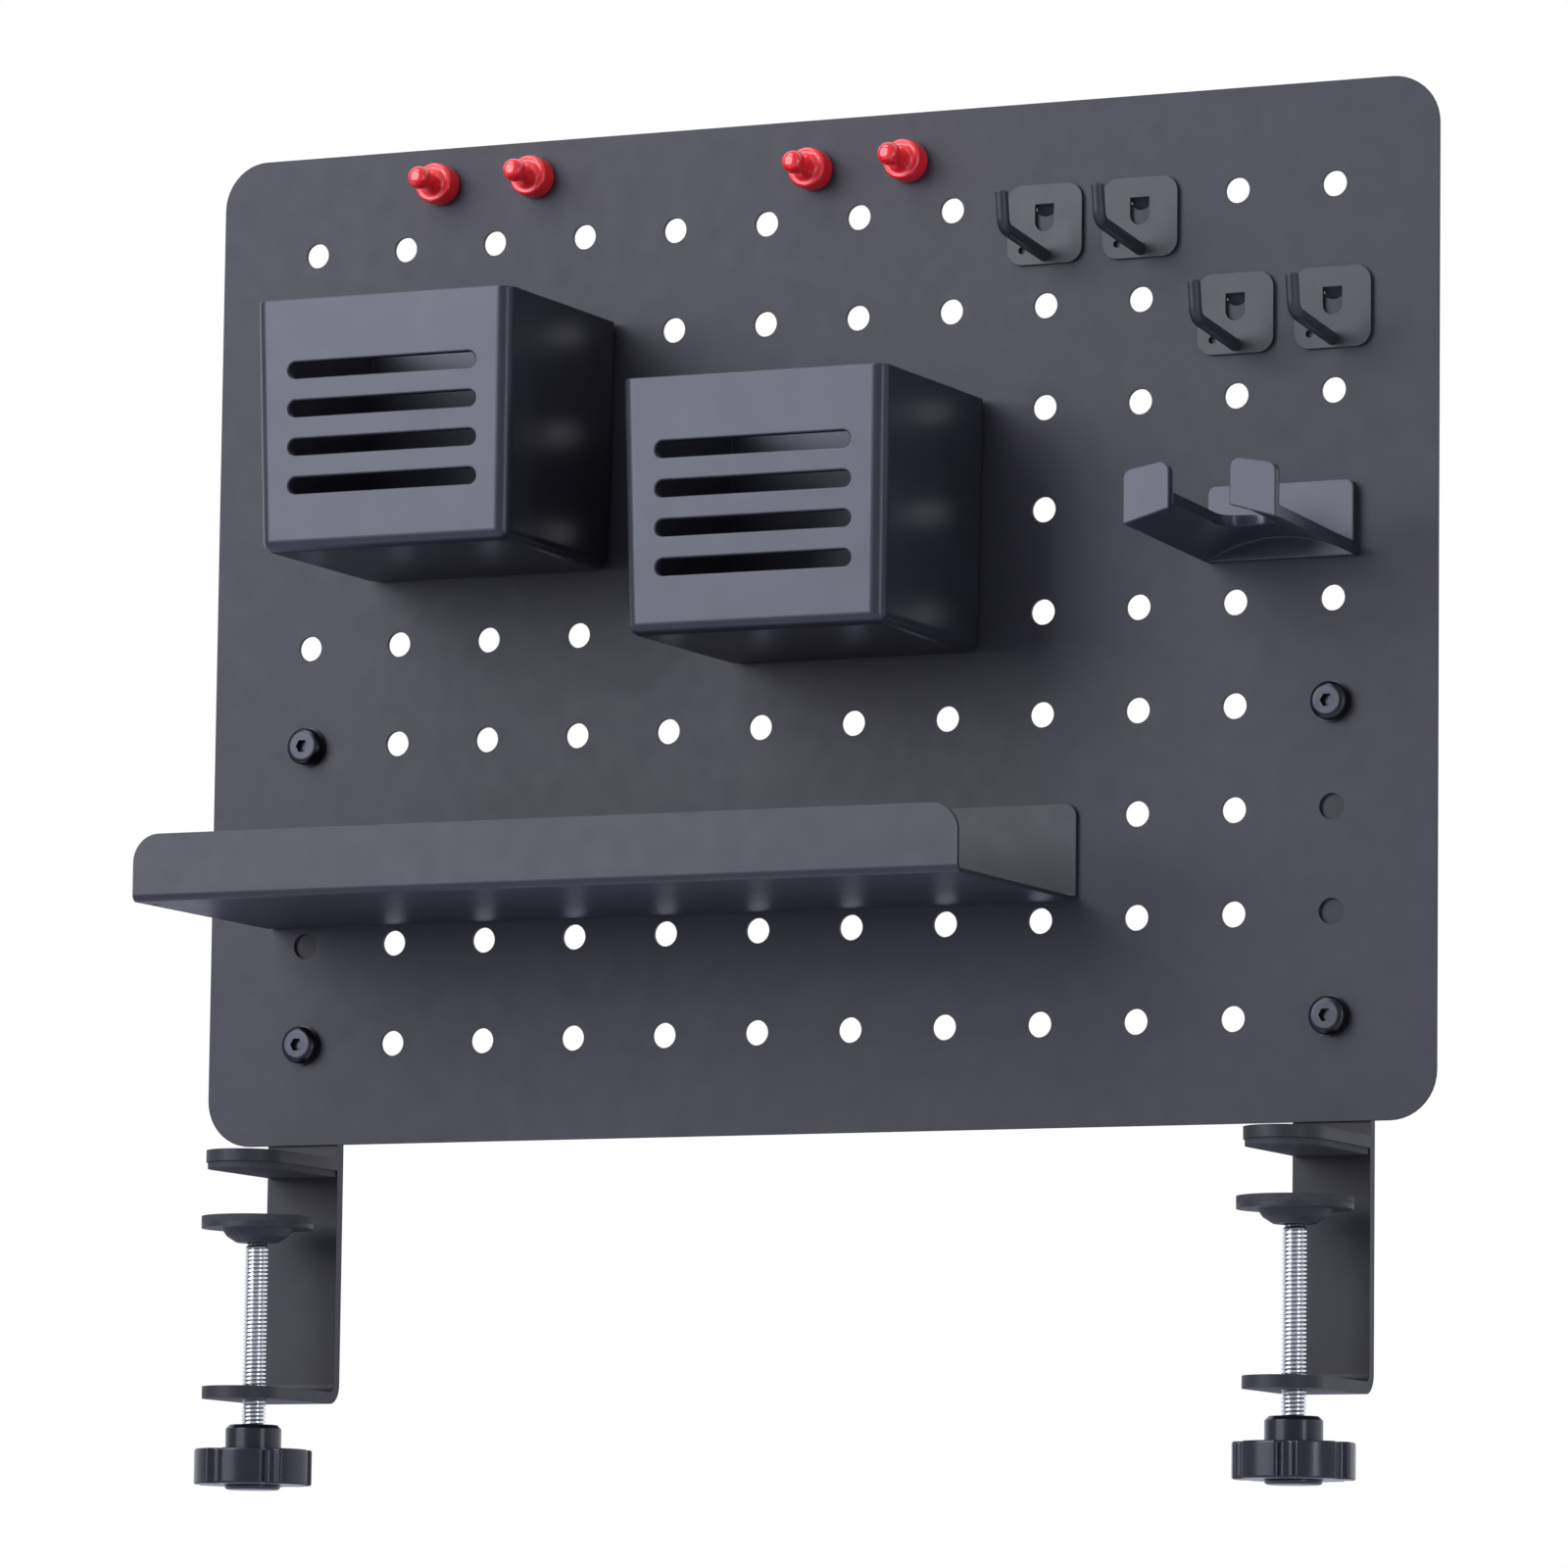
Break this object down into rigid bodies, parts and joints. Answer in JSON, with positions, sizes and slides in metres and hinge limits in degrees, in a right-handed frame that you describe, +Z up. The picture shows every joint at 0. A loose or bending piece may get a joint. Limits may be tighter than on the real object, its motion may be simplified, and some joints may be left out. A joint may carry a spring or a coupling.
{
  "type": "pegboard tool wall",
  "caption": "Steel pegboard panel on two screw clamps for a desk edge, with slotted bins, single hooks, a folded shelf, a forked headphone holder and push-pin magnets.",
  "frame": {"origin": "midway between the clamps, where the desk's top face meets its rear edge, which is also the plane of the panel's back", "axes": "+X to the right seen from the front, +Y to the back of the panel, +Z up"},
  "size_m": [0.3334, 0.0782, 0.3419],
  "materials": {
    "panel_coat": "fine matte powder coat",
    "clamp_coat": "matte powder coat",
    "hook_coat": "satin powder coat",
    "black_screw": "black oxide, slightly oily",
    "zinc_screw": "bright zinc plate",
    "bin_plastic": "satin",
    "holder_plastic": "satin",
    "knob_plastic": "satin",
    "rubber_pad": "matte",
    "red_plastic": "gloss",
    "magnet_metal": "nickel plate"
  },
  "bodies": {
    "board": {"pegboard_panel": "panel_coat", "panel_screws": "black_screw", "panel_washers": "black_screw", "clamp_bracket_left": "clamp_coat", "upper_arm_left": "clamp_coat", "upper_pad_left": "rubber_pad", "clamp_bracket_right": "clamp_coat", "upper_arm_right": "clamp_coat", "upper_pad_right": "rubber_pad"},
    "foot_left": {"pressure_plate_left": "clamp_coat", "pressure_pad_left": "rubber_pad"},
    "screw_left": {"clamp_screw_left": "zinc_screw", "knob_left": "knob_plastic", "knob_cap_left": "knob_plastic"},
    "foot_right": {"pressure_plate_right": "clamp_coat", "pressure_pad_right": "rubber_pad"},
    "screw_right": {"clamp_screw_right": "zinc_screw", "knob_right": "knob_plastic", "knob_cap_right": "knob_plastic"},
    "bin_left": {"bin_left": "bin_plastic"},
    "bin_right": {"bin_right": "bin_plastic"},
    "shelf": {"shelf": "panel_coat"},
    "holder": {"headphone_holder": "holder_plastic"},
    "hook_1": {"hook_plate_1": "hook_coat", "hook_rod_1": "hook_coat"},
    "hook_2": {"hook_plate_2": "hook_coat", "hook_rod_2": "hook_coat"},
    "hook_3": {"hook_plate_3": "hook_coat", "hook_rod_3": "hook_coat"},
    "hook_4": {"hook_plate_4": "hook_coat", "hook_rod_4": "hook_coat"},
    "magnet_1": {"magnet_grip_1": "red_plastic", "magnet_disc_1": "magnet_metal"},
    "magnet_2": {"magnet_grip_2": "red_plastic", "magnet_disc_2": "magnet_metal"},
    "magnet_3": {"magnet_grip_3": "red_plastic", "magnet_disc_3": "magnet_metal"},
    "magnet_4": {"magnet_grip_4": "red_plastic", "magnet_disc_4": "magnet_metal"}
  },
  "joints": [
    {"name": "foot_left_travel", "type": "slide", "parent": "board", "child": "foot_left", "axis": [0, 0, 1], "range_m": [-0.035, 0.006]},
    {"name": "screw_left_turn", "type": "hinge", "parent": "foot_left", "child": "screw_left", "pos_m": [-0.1397, -0.0235, -0.03], "axis": [0, 0, 1], "range_deg": [-12600, 2160]},
    {"name": "foot_right_travel", "type": "slide", "parent": "board", "child": "foot_right", "axis": [0, 0, 1], "range_m": [-0.035, 0.006]},
    {"name": "screw_right_turn", "type": "hinge", "parent": "foot_right", "child": "screw_right", "pos_m": [0.1397, -0.0235, -0.03], "axis": [0, 0, 1], "range_deg": [-12600, 2160]},
    {"name": "bin_left_lift_off", "type": "slide", "parent": "board", "child": "bin_left", "axis": [0, -0.7071, 0.7071], "range_m": [0, 0.042]},
    {"name": "bin_right_lift_off", "type": "slide", "parent": "board", "child": "bin_right", "axis": [0, -0.7071, 0.7071], "range_m": [0, 0.042]},
    {"name": "shelf_lift_off", "type": "slide", "parent": "board", "child": "shelf", "axis": [0, -0.7071, 0.7071], "range_m": [0, 0.042]},
    {"name": "holder_lift_off", "type": "slide", "parent": "board", "child": "holder", "axis": [0, -0.7071, 0.7071], "range_m": [0, 0.042]},
    {"name": "hook_1_lift_off", "type": "slide", "parent": "board", "child": "hook_1", "axis": [0, -0.7071, 0.7071], "range_m": [0, 0.042]},
    {"name": "hook_2_lift_off", "type": "slide", "parent": "board", "child": "hook_2", "axis": [0, -0.7071, 0.7071], "range_m": [0, 0.042]},
    {"name": "hook_3_lift_off", "type": "slide", "parent": "board", "child": "hook_3", "axis": [0, -0.7071, 0.7071], "range_m": [0, 0.042]},
    {"name": "hook_4_lift_off", "type": "slide", "parent": "board", "child": "hook_4", "axis": [0, -0.7071, 0.7071], "range_m": [0, 0.042]},
    {"name": "magnet_1_pull_off", "type": "slide", "parent": "board", "child": "magnet_1", "axis": [0, -1, 0], "range_m": [0, 0.03]},
    {"name": "magnet_2_pull_off", "type": "slide", "parent": "board", "child": "magnet_2", "axis": [0, -1, 0], "range_m": [0, 0.03]},
    {"name": "magnet_3_pull_off", "type": "slide", "parent": "board", "child": "magnet_3", "axis": [0, -1, 0], "range_m": [0, 0.03]},
    {"name": "magnet_4_pull_off", "type": "slide", "parent": "board", "child": "magnet_4", "axis": [0, -1, 0], "range_m": [0, 0.03]}
  ],
  "couplings": [
    {"joint": "screw_left_turn", "follows": "foot_left_travel", "rad_per_m": 6283.2},
    {"joint": "screw_right_turn", "follows": "foot_right_travel", "rad_per_m": 6283.2}
  ]
}
